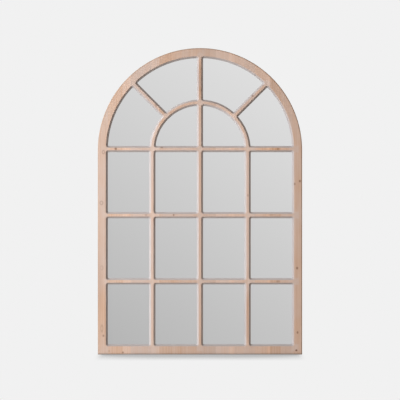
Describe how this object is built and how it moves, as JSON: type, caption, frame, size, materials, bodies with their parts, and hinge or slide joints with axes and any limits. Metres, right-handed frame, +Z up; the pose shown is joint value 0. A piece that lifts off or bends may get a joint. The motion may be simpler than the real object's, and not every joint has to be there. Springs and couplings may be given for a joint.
{
  "type": "arched window mirror",
  "caption": "Arched window-style wall mirror: limed softwood frame with a half-round head, bevelled glazing bars, mirror glass, backing board and two D-ring hangers.",
  "frame": {"origin": "middle of the frame's bottom face, at half of its depth", "axes": "+Z up, +X to the right as one faces the mirror, the front faces -Y and the back +Y"},
  "size_m": [1, 0.0359, 1.5],
  "materials": {
    "limed_softwood": "limed (whitewashed) softwood, sanded back to raw wood on the arrises",
    "mirror_glass": "silvered float glass",
    "foam_sheet": "closed-cell foam sheet",
    "backing_board": "bare fibreboard",
    "zinc_screws": "zinc-plated steel",
    "dowel_wood": "turned beech",
    "hanger_steel": "nickel-plated steel",
    "bumper_rubber": "soft black rubber"
  },
  "bodies": {
    "frame": {"bottom_rail": "limed_softwood", "arch_crown": "limed_softwood", "centre_bar": "limed_softwood", "lower_bar": "limed_softwood", "middle_bar": "limed_softwood", "springing_bar": "limed_softwood", "right_stile": "limed_softwood", "left_stile": "limed_softwood", "arch_right_foot": "limed_softwood", "arch_left_foot": "limed_softwood", "arch_right_shoulder": "limed_softwood", "arch_left_shoulder": "limed_softwood", "right_bar": "limed_softwood", "left_bar": "limed_softwood", "right_inner_arch": "limed_softwood", "left_inner_arch": "limed_softwood", "right_spoke": "limed_softwood", "left_spoke": "limed_softwood", "mirror_glass": "mirror_glass", "cushion_sheet": "foam_sheet", "backing_board": "backing_board", "backing_screws": "zinc_screws", "corner_dowels": "dowel_wood", "springing_dowels": "dowel_wood", "arch_dowels": "dowel_wood", "hanger_screws": "zinc_screws", "wall_bumpers": "bumper_rubber", "right_hanger_strap": "hanger_steel", "left_hanger_strap": "hanger_steel"},
    "left_ring": {"left_hanging_ring": "hanger_steel"},
    "right_ring": {"right_hanging_ring": "hanger_steel"}
  },
  "joints": [
    {"name": "left_ring_turn", "type": "hinge", "parent": "frame", "child": "left_ring", "pos_m": [-0.4835, 0.0179, 0.9], "axis": [1, 0, 0], "range_deg": [0, 175]},
    {"name": "right_ring_turn", "type": "hinge", "parent": "frame", "child": "right_ring", "pos_m": [0.4835, 0.0179, 0.9], "axis": [1, 0, 0], "range_deg": [0, 175]}
  ]
}
